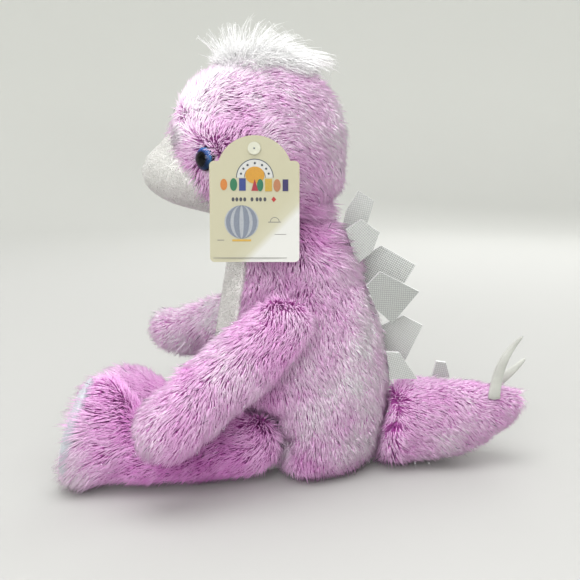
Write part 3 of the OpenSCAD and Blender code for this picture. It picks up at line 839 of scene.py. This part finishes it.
def crown_tuft():
    """Fine white wisps: upright at the front, combed back behind, with a few long loose ones."""
    rng = np.random.default_rng(900)
    n = 5200
    v = rng.random(n)
    x = np.clip(rng.normal(0, 0.55, n), -1, 1) * TUFT_HALF * np.sin(math.pi * (0.12 + 0.76 * v)) ** 0.5
    y = TUFT_Y[0] + (TUFT_Y[1] - TUFT_Y[0]) * v
    head_co, head_tri = mesh_arrays(bpy.data.objects["padding_head"].data)
    tree = BVHTree.FromPolygons(head_co.tolist(), head_tri.tolist())
    root = np.zeros((n, 3))
    normal = np.zeros((n, 3))
    for i in range(n):
        root[i], normal[i] = tree.ray_cast(Vector((x[i], y[i], 0.4)), Vector((0, 0, -1)))[:2]
    loose = rng.random(n) < 0.11
    size = (0.016 + 0.004 * v + 0.006 * rng.random(n)) * np.where(loose, 1.85, 1.0)
    lean = np.stack([x / TUFT_HALF * 0.55, -0.20 + 0.95 * v, np.zeros(n)], 1)
    d = unit(normal + lean + noise(root, 0.010, 21, 3) * 0.45 + rng.normal(0, 0.15, (n, 3)))
    rings = 5
    spine = np.zeros((n, rings + 1, 3))
    spine[:, 0] = root
    step = d
    droop = np.stack([x / TUFT_HALF * 0.20, 0.25 * v + 0.02, -0.16 - 0.20 * v], 1)
    for k in range(1, rings + 1):
        step = unit(step + droop * (1.5 * k / rings) + rng.normal(0, 0.05, (n, 3)))
        spine[:, k] = spine[:, k - 1] + step * (size / rings)[:, None]
    spine[:, -1] = clump(root, spine[:, -1], 0.006, 0.5, rng)
    radius = np.linspace(1, 0.35, rings)[None] * (0.00030 + 0.00012 * rng.random(n))[:, None]
    tone = np.clip(0.65 + 0.4 * rng.random((n, 1)) + np.zeros((n, rings)), 0, 1)
    obj = strands_mesh("crown_tuft", spine, radius, tone, WHITE, rng)
    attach(obj, "head")
    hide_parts("hair_tuft")


crown_tuft()

# ---------------------------------------------------------------- plates
PLATES = [f"plate_{k}" for k in range(1, 7)]
# Each plate's weave turn, then its dark and light weave values. The plates are one silver cloth; the values differ
# plate to plate as painted light and shade for how the lamps fall on each.
PLATE_TWIST_AND_SHADE = {
    "plate_1": (0.2, 170, 190), "plate_2": (0.75, 164, 186), "plate_3": (0.5, 150, 204),
    "plate_4": (0.05, 150, 168), "plate_5": (0.6, 176, 196), "plate_6": (0.3, 168, 188),
    "tail_plate": (0.2, 160, 180),
}
EDGE_WHITE = satin("plate_edge", srgb(206, 208, 207), srgb(224, 225, 224))


def cloth_plate(node, body):
    twist, low, high = PLATE_TWIST_AND_SHADE[node]
    obj = copy_node(node, node + "_cloth")
    bevel = obj.modifiers.new("soft_edge", "BEVEL")
    bevel.width = 0.0009
    bevel.segments = 2
    bevel.limit_method = "ANGLE"
    apply_modifiers(obj)
    weave = silver_weave(node + "_weave", srgb(low - 14, low - 12, low - 14), srgb(high, high + 3, high), twist)
    obj.data.materials.clear()
    obj.data.materials.append(weave)
    obj.data.materials.append(EDGE_WHITE)
    for poly in obj.data.polygons:
        poly.material_index = 0 if abs(poly.normal.x) > 0.9 else 1
    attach(obj, body)
    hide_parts(node)


for plate in PLATES:
    cloth_plate(plate, "torso")
cloth_plate("tail_plate", "tail")
SPIKE_CLOTH = satin("spike_cloth", srgb(170, 171, 165), srgb(196, 198, 191))


def bend_through(a, b, c, count):
    """Points of the smooth bow from a through b to c, and its directions."""
    a, b, c = (np.array(v, float) for v in (a, b, c))
    ctrl = 2 * b - (a + c) / 2
    t = np.linspace(0, 1, count)[:, None]
    place = (1 - t) ** 2 * a + 2 * t * (1 - t) * ctrl + t**2 * c
    return place, unit(2 * (1 - t) * (ctrl - a) + 2 * t * (c - ctrl))


def blade(node, points, width, thick):
    """A flat stuffed horn: an oval section that narrows to a soft point along a bow."""
    place, along = bend_through(*points, 22)
    flat = unit(np.cross(along, [[1.0, 0.0, 0.0]]))
    side = np.cross(flat, along)
    t = np.linspace(0, 1, len(place))
    share = (1 - 0.40 * t) * np.sqrt(np.clip(1 - t**3.0, 0, 1))
    verts, turns = [], 20
    for k in range(len(place) - 1):
        for j in range(turns):
            a = 2 * math.pi * j / turns
            verts.append(place[k] + flat[k] * (width / 2 * share[k] * math.cos(a))
                         + side[k] * (thick / 2 * math.sqrt(share[k]) * math.sin(a)))
    verts += [place[0] - along[0] * 0.001, place[-1]]
    rows = len(place) - 1
    faces = [[r * turns + j, r * turns + (j + 1) % turns, (r + 1) * turns + (j + 1) % turns, (r + 1) * turns + j]
             for r in range(rows - 1) for j in range(turns)]
    end = rows * turns
    faces += [[end, (j + 1) % turns, j] for j in range(turns)]
    faces += [[(rows - 1) * turns + j, (rows - 1) * turns + (j + 1) % turns, end + 1] for j in range(turns)]
    obj = build_mesh(node + "_cloth", verts, faces, [SPIKE_CLOTH])
    outward(obj)
    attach(obj, "tail")
    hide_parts(node)


blade("spike_left", ((0.0150, 0.1340, 0.0520), (0.0185, 0.1385, 0.0790), (0.0240, 0.1510, 0.1000)),
      0.0088, 0.0032)
blade("spike_right", ((-0.0140, 0.1400, 0.0540), (-0.0185, 0.1540, 0.0640), (-0.0225, 0.1645, 0.0725)),
      0.0080, 0.0032)

# ---------------------------------------------------------------- eyes
EYE_R = 0.00825
EYE_FACING = {"left": (0.765, -0.64, 0.06), "right": (-0.765, -0.64, 0.06)}


def eye_material(side, centre, facing):
    """Black pupil, blue iris with fine rays that brightens upwards as painted light from above, black rim, under a
    clear gloss.
    """
    mat, tree, p = principled(f"eye_{side}", (0.0, 0.0, 0.0), 0.06, Specular_IOR_Level=0.22)
    geometry = tree.nodes.new("ShaderNodeTexCoord")
    shift = add(tree, "ShaderNodeVectorMath", operation="SUBTRACT")
    shift.inputs[1].default_value = centre
    tree.links.new(geometry.outputs["Object"], shift.inputs[0])
    across = add(tree, "ShaderNodeVectorMath", operation="CROSS_PRODUCT")
    across.inputs[1].default_value = facing
    tree.links.new(shift.outputs["Vector"], across.inputs[0])
    radius = add(tree, "ShaderNodeVectorMath", operation="LENGTH")
    tree.links.new(across.outputs["Vector"], radius.inputs[0])
    share = add(tree, "ShaderNodeMath", operation="DIVIDE")
    tree.links.new(radius.outputs["Value"], share.inputs[0])
    share.inputs[1].default_value = EYE_R
    rays = texture(tree, across.outputs["Vector"], "ShaderNodeTexNoise", Scale=1500.0, Detail=2.0)
    black, dark, blue, pale = srgb(3, 4, 8), srgb(8, 26, 70), srgb(36, 92, 170), srgb(96, 160, 222)
    stops = [(0.0, black), (0.52, black), (0.57, dark), (0.74, blue), (0.86, pale), (0.93, dark), (0.97, black)]
    ring = ramp(tree, stops, share.outputs["Value"])
    split = texture(tree, shift.outputs["Vector"], "ShaderNodeSeparateXYZ")
    # Painted light: the iris is painted brighter towards its top, the part that catches the light.
    rise = add(tree, "ShaderNodeMapRange", From_Min=-EYE_R * 0.5, From_Max=EYE_R * 0.8, To_Min=0.12, To_Max=1.0)
    tree.links.new(split.outputs["Z"], rise.inputs["Value"])
    vary = add(tree, "ShaderNodeMapRange", To_Min=0.6, To_Max=1.25)
    tree.links.new(rays.outputs["Fac"], vary.inputs["Value"])
    top_light_and_rays = add(tree, "ShaderNodeMath", operation="MULTIPLY")
    tree.links.new(rise.outputs["Result"], top_light_and_rays.inputs[0])
    tree.links.new(vary.outputs["Result"], top_light_and_rays.inputs[1])
    tint = add(tree, "ShaderNodeVectorMath", operation="SCALE")
    tree.links.new(ring, tint.inputs[0])
    tree.links.new(top_light_and_rays.outputs["Value"], tint.inputs["Scale"])
    tree.links.new(tint.outputs["Vector"], p.inputs["Base Color"])
    return mat


def lathe(name, profile, origin, axis, turns, materials):
    """A closed turned piece: profile is (radius, height) points from the axis back to the axis."""
    axis = Vector(axis).normalized()
    s = axis.cross(Vector((0, 0, 1))).normalized()
    e = axis.cross(s)
    verts, rows = [], []
    for r, h in profile:
        if r < 1e-9:
            rows.append([len(verts)])
            verts.append(Vector(origin) + axis * h)
            continue
        rows.append(list(range(len(verts), len(verts) + turns)))
        for k in range(turns):
            a = 2 * math.pi * k / turns
            verts.append(Vector(origin) + s * (r * math.cos(a)) + e * (r * math.sin(a)) + axis * h)
    faces = []
    for a, b in zip(rows, rows[1:]):
        for k in range(turns):
            i, j = k, (k + 1) % turns
            if len(a) == 1:
                faces.append([a[0], b[j], b[i]])
            elif len(b) == 1:
                faces.append([a[i], a[j], b[0]])
            else:
                faces.append([a[i], a[j], b[j], b[i]])
    obj = build_mesh(name, verts, faces, materials)
    outward(obj)
    return obj


def eye(side):
    """Domed front on a short stem, where the CAD eye sits."""
    node = NODES["eye_" + side]
    co, _ = mesh_arrays(node.data)
    facing = np.array(Vector(EYE_FACING[side]).normalized())
    reach = co @ facing
    front = reach.max()
    ball, sunk = math.hypot(EYE_R, 3.2 * MM), 3.2 * MM
    flat = co[reach > front - 2 * MM].mean(0)
    centre = flat + facing * (front - flat @ facing - (ball - sunk))
    dome = [(ball * math.sin(t), ball * math.cos(t) - sunk) for t in np.linspace(0, math.acos(sunk / ball), 14)]
    profile = [(0.0, dome[0][1])] + dome[1:] + [(EYE_R, -0.6 * MM), (EYE_R - 0.5 * MM, -1.0 * MM)]
    profile += [(2.2 * MM, -1.1 * MM), (2.2 * MM, -11 * MM), (0.0, -11 * MM)]
    obj = lathe("eye_dome_" + side, profile, centre, facing, 48, [eye_material(side, tuple(centre), tuple(facing))])
    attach(obj, "head")
    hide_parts("eye_" + side)


for side in ("left", "right"):
    eye(side)

# ---------------------------------------------------------------- tag
TAG_Y, TAG_Z = -0.0340, 0.2225


def tag_curl(y, z):
    """How far the card bows outwards: most along its lower edge."""
    low = np.clip((TAG_Z - z) / 0.064, 0, 1)
    return 0.0022 * low**2 + 0.0007 * ((y - TAG_Y) / 0.0285) ** 2 * low


def tag_card_material():
    """Cream card, whiter towards its lower far corner, with faint fibres."""
    mat, tree, p = principled("tag_card", srgb(214, 208, 180), 0.5)
    at = object_coords(tree)
    split = texture(tree, at, "ShaderNodeSeparateXYZ")
    reach = add(tree, "ShaderNodeMapRange", From_Min=0.212, From_Max=0.196)
    diff = add(tree, "ShaderNodeMath", operation="SUBTRACT")
    tree.links.new(split.outputs["Z"], diff.inputs[0])
    tree.links.new(split.outputs["Y"], diff.inputs[1])
    tree.links.new(diff.outputs["Value"], reach.inputs["Value"])
    fibres = texture(tree, at, "ShaderNodeTexNoise", Scale=1400.0, Detail=3.0)
    colours = [(0.0, srgb(170, 166, 141)), (0.6, srgb(174, 171, 149)), (1.0, srgb(194, 194, 190))]
    paint(tree, p, colours, reach.outputs["Result"])
    bump(tree, p, fibres.outputs["Fac"], 0.12, 0.0001)
    return mat


def tag_leaf(node, bow):
    obj = copy_node(node, node + "_leaf")
    shape = bmesh.new()
    shape.from_mesh(obj.data)
    for k in range(1, 16):
        parts = shape.verts[:] + shape.edges[:] + shape.faces[:]
        bmesh.ops.bisect_plane(shape, geom=parts, plane_co=(0, 0, TAG_Z - 0.064 * k / 16), plane_no=(0, 0, 1))
    for k in range(-3, 4):
        parts = shape.verts[:] + shape.edges[:] + shape.faces[:]
        bmesh.ops.bisect_plane(shape, geom=parts, plane_co=(0, TAG_Y + 0.0285 * k / 4, 0), plane_no=(0, 1, 0))
    for v in shape.verts:
        v.co.x += bow * float(tag_curl(v.co.y, v.co.z))
    shape.to_mesh(obj.data)
    shape.free()
    obj.data.materials.append(CARD)
    shade(obj, False)
    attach(obj, "hang_tag")
    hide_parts(node)


CARD = tag_card_material()
tag_leaf("tag_front", 1.0)
tag_leaf("tag_back", 0.25)


def disc(u, v, ru, rv=None, count=28):
    """An oval outline about (u, v)."""
    rv = rv or ru
    angles = np.radians(np.linspace(0.0, 360.0, count, endpoint=False))
    return [(u + ru * math.cos(a), v + rv * math.sin(a)) for a in angles]


def box(u, v, w, h):
    """A rectangle about (u, v)."""
    return [(u - w / 2, v - h / 2), (u + w / 2, v - h / 2), (u + w / 2, v + h / 2), (u - w / 2, v + h / 2)]


def half_ring(u, v, inner, outer):
    angles = np.radians(np.linspace(0, 180, 33))
    out = [(u + outer * math.cos(a), v + outer * math.sin(a)) for a in angles]
    return tuple(out + [(u + inner * math.cos(a), v + inner * math.sin(a)) for a in angles[::-1]])


TAG_FACE = 0.0675
INK_DEPTH = 0.55


def ink(name, colour, shapes, level):
    """One colour of the tag's plain pattern: thin raised shapes, (u, v) in mm on the front leaf.

    A list is a convex outline; a tuple is a band, its second half running back beside the first."""
    colour = tuple(c * INK_DEPTH for c in colour)
    mat, tree, p = principled("ink_" + name, colour, 0.45)
    speck = texture(tree, object_coords(tree), "ShaderNodeTexNoise", Scale=900.0, Detail=2.0)
    soft = tuple(c * 0.9 for c in colour)
    paint(tree, p, [(0.35, soft), (0.6, colour)], speck.outputs["Fac"])
    verts, faces = [], []
    for shape in shapes:
        n, start = len(shape), len(verts)
        for depth in (-0.00025, 0.00005 + 0.00005 * level):
            for u, v in shape:
                y, z = TAG_Y + u * MM, TAG_Z + v * MM
                verts.append((TAG_FACE + depth + float(tag_curl(y, z)), y, z))
        cells = [list(range(n))]
        if isinstance(shape, tuple):
            cells = [[k, k + 1, n - 2 - k, n - 1 - k] for k in range(n // 2 - 1)]
        faces += [[start + k for k in cell[::-1]] for cell in cells]
        faces += [[start + n + k for k in cell] for cell in cells]
        faces += [[start + k, start + (k + 1) % n, start + n + (k + 1) % n, start + n + k] for k in range(n)]
    obj = build_mesh("tag_ink_" + name, verts, faces, [mat], shade_smooth=False)
    outward(obj)
    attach(obj, "hang_tag")


ARCH = (0.3, -10.5)
BALL = (-8.3, -38.5)
STRIPES = [(-0.80, 0.13), (-0.30, 0.17), (0.30, 0.17), (0.80, 0.13)]


def ball_stripe(at, half):
    """A band of the striped ball between two of its meridians."""
    t = np.radians(np.linspace(-88, 88, 15))
    left = [(BALL[0] + 10.6 * (at - half) * math.cos(a), BALL[1] + 10.6 * math.sin(a)) for a in t]
    right = [(BALL[0] + 10.6 * (at + half) * math.cos(a), BALL[1] + 10.6 * math.sin(a)) for a in t[::-1]]
    return tuple(left[::-1] + right[::-1])


DASHES = [-13.6, -11.2, -8.7, -6.2, -1.6, 1.6, 3.8, 6.6]
MARKS = [disc(ARCH[0] + 9.1 * math.cos(a), ARCH[1] + 9.1 * math.sin(a), 0.75, count=12)
         for a in np.radians([16, 38, 60, 90, 120, 142, 164])]
GROUND = [box(-3.0, -61.4, 47.0, 0.35), box(12.6, -38.6, 8.2, 0.5), box(-21.6, -50.0, 4.4, 0.45),
          half_ring(12.8, -38.4, 2.6, 3.0), box(16.4, -46.4, 7.4, 0.3)]
for name, colour, level, shapes in (
    ("arch_line", (92, 100, 112), 1, [half_ring(*ARCH, 11.3, 11.9), half_ring(*ARCH, 6.5, 6.9)]),
    ("arch_white", (240, 240, 236), 1, [half_ring(*ARCH, 6.9, 11.3)]),
    ("arch_marks", (60, 66, 80), 2, MARKS),
    ("sun", (236, 170, 36), 3, [disc(0.3, -8.9, 6.1, 5.4)]),
    ("orange", (232, 140, 44), 4, [disc(-19.4, -14.8, 2.2, 3.6)]),
    ("green", (14, 128, 82), 4, [disc(-13.2, -14.8, 2.3, 4.0)]),
    ("blue", (34, 62, 150), 4, [box(-7.6, -14.8, 4.2, 7.8)]),
    ("red", (186, 26, 56), 4, [[(-2.0, -18.8), (2.4, -18.8), (0.2, -11.2)]]),
    ("teal", (10, 126, 88), 5, [disc(3.6, -15.2, 2.0, 3.9)]),
    ("yellow", (224, 182, 60), 4, [box(8.9, -15.2, 4.4, 7.8)]),
    ("amber", (204, 134, 88), 4, [disc(14.3, -15.4, 2.3, 4.0)]),
    ("indigo", (38, 24, 104), 4, [box(19.6, -15.3, 3.6, 7.4)]),
    ("dashes", (74, 74, 84), 1, [disc(u, -24.2, 0.95, 1.35, count=14) for u in DASHES]),
    ("diamond", (206, 34, 40), 1, [[(12.2, -26.0), (13.8, -24.2), (12.2, -22.4), (10.6, -24.2)]]),
    ("ball", (196, 201, 208), 1, [ball_stripe(0.0, 1.03)]),
    ("ball_stripes", (142, 151, 168), 5, [ball_stripe(*v) for v in STRIPES]),
    ("mat", (236, 190, 76), 2, [box(-8.3, -50.2, 12.0, 1.3)]),
    ("lines", (150, 150, 146), 1, GROUND),
):
    ink(name, srgb(*colour), shapes, level)

# ---------------------------------------------------------------- small hard parts
def speckled(name, colour, roughness, **sockets):
    """Moulded plastic with a faint mottle."""
    mat, tree, p = principled(name, colour, roughness, **sockets)
    n = texture(tree, object_coords(tree), "ShaderNodeTexNoise", Scale=300.0, Detail=2.0)
    paint(tree, p, [(0.3, tuple(c * 0.93 for c in colour)), (0.7, colour)], n.outputs["Fac"])
    bump(tree, p, n.outputs["Fac"], 0.05, 0.0001)
    return mat


for node, mat in (("tag_fastener", speckled("clear_plastic", srgb(192, 192, 176), 0.2)),
                  ("eye_washer_left", speckled("washer_plastic", srgb(236, 236, 232), 0.45)),
                  ("eye_washer_right", bpy.data.materials["washer_plastic"])):
    NODES[node].data.materials.clear()
    NODES[node].data.materials.append(mat)

pin = lathe("tag_pin", [(0.0, 0.0), (0.0006, 0.0), (0.0006, 0.0003), (0.0, 0.0005)],
            (0.0687, TAG_Y, 0.2305), (1, 0, 0), 16, [speckled("pin_dark", srgb(112, 122, 124), 0.3)])
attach(pin, "head")

NECK = np.array([0.0, -0.015, 0.148])


def neck_thread():
    """The sewn joint of head and neck: one doubled thread that zigzags round the opening."""
    turns, count, stitches = 6, 480, 40
    a = np.linspace(0, 2 * math.pi, count, endpoint=False)
    polar = np.radians(63 + 0.8 * np.sin(a * stitches))
    out = np.stack([np.sin(polar) * np.sin(a), -np.sin(polar) * np.cos(a), np.cos(polar)], 1)
    path = NECK + out * 0.0430
    along = unit(np.roll(path, -1, 0) - np.roll(path, 1, 0))
    side = np.cross(out, along)
    verts = np.concatenate([path[:, None] + 0.00042 * (math.cos(t) * out + math.sin(t) * side)[:, None]
                            for t in np.linspace(0, 2 * math.pi, turns, endpoint=False)], 1).reshape(-1, 3)
    corners = ((0, 0), (0, 1), (1, 1), (1, 0))
    faces = [[(k + a) % count * turns + (j + b) % turns for a, b in corners]
             for k in range(count) for j in range(turns)]
    mat, tree, p = principled("thread", srgb(216, 150, 208), 0.6)
    ply = texture(tree, object_coords(tree), "ShaderNodeTexWave", Scale=400.0, bands_direction="DIAGONAL")
    plied = [(0.2, srgb(196, 120, 188)), (0.8, srgb(226, 166, 218))]
    paint(tree, p, plied, ply.outputs["Fac"])
    obj = build_mesh("neck_thread", verts, faces, [mat])
    outward(obj)
    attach(obj, "neck")
    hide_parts("neck_seam")


neck_thread()

# ---------------------------------------------------------------- stage and light
def stage():
    """A seamless pale bowl: flat floor that curves up into a wall all round."""
    mat, tree, p = principled("floor", srgb(190, 190, 188), 0.85)
    # Painted light: the stage is painted darker near the middle and lighter towards the wall, the fall of light
    # across it.
    far = add(tree, "ShaderNodeVectorMath", operation="LENGTH")
    tree.links.new(object_coords(tree), far.inputs[0])
    away = add(tree, "ShaderNodeMath", operation="DIVIDE")
    tree.links.new(far.outputs["Value"], away.inputs[0])
    away.inputs[1].default_value = 3.0
    colours = [(0.08, srgb(182, 182, 180)), (0.3, srgb(197, 197, 195)), (0.75, srgb(216, 217, 213))]
    paint(tree, p, colours, away.outputs["Value"])
    flat, bend, wall = 1.5, 1.0, 2.4
    profile = [(0.02, 0.0), (0.5, 0.0), (1.0, 0.0)]
    profile += [(flat + bend * math.sin(t), bend - bend * math.cos(t)) for t in np.linspace(0, math.pi / 2, 24)]
    profile.append((flat + bend, wall))
    turns = 96
    verts = [(r * math.cos(a), r * math.sin(a), z) for r, z in profile
             for a in np.linspace(0, 2 * math.pi, turns, endpoint=False)]
    faces = [[i * turns + k, i * turns + (k + 1) % turns, (i + 1) * turns + (k + 1) % turns, (i + 1) * turns + k]
             for i in range(len(profile) - 1) for k in range(turns)]
    faces.append(list(range(turns))[::-1])
    obj = build_mesh("floor", verts, faces, [mat])
    world = bpy.data.worlds.new("studio")
    bpy.context.scene.world = world
    world.use_nodes = True
    bg = world.node_tree.nodes["Background"]
    bg.inputs["Color"].default_value = (1.0, 1.0, 0.985, 1)
    bg.inputs["Strength"].default_value = 1.10


def lamp(name, place, aim, size, power, colour=(1, 1, 1)):
    data = bpy.data.lights.new(name, "AREA")
    data.shape = "RECTANGLE"
    data.size, data.size_y = size
    data.energy = power
    data.color = colour
    obj = link(bpy.data.objects.new(name, data))
    obj.location = place
    obj.rotation_mode = "QUATERNION"
    obj.rotation_quaternion = (Vector(aim) - Vector(place)).to_track_quat("-Z", "Y")


stage()
lamp("top", (0.35, -0.1, 1.2), (0, 0, 0.1), (1.0, 1.0), 10)
lamp("camera_side", (1.5, -0.3, 0.7), (0, 0, 0.15), (1.0, 0.8), 14)
lamp("far_side", (-1.3, 0.5, 0.8), (0, 0, 0.15), (1.0, 0.8), 6)
bpy.context.scene.view_settings.view_transform = "Standard"
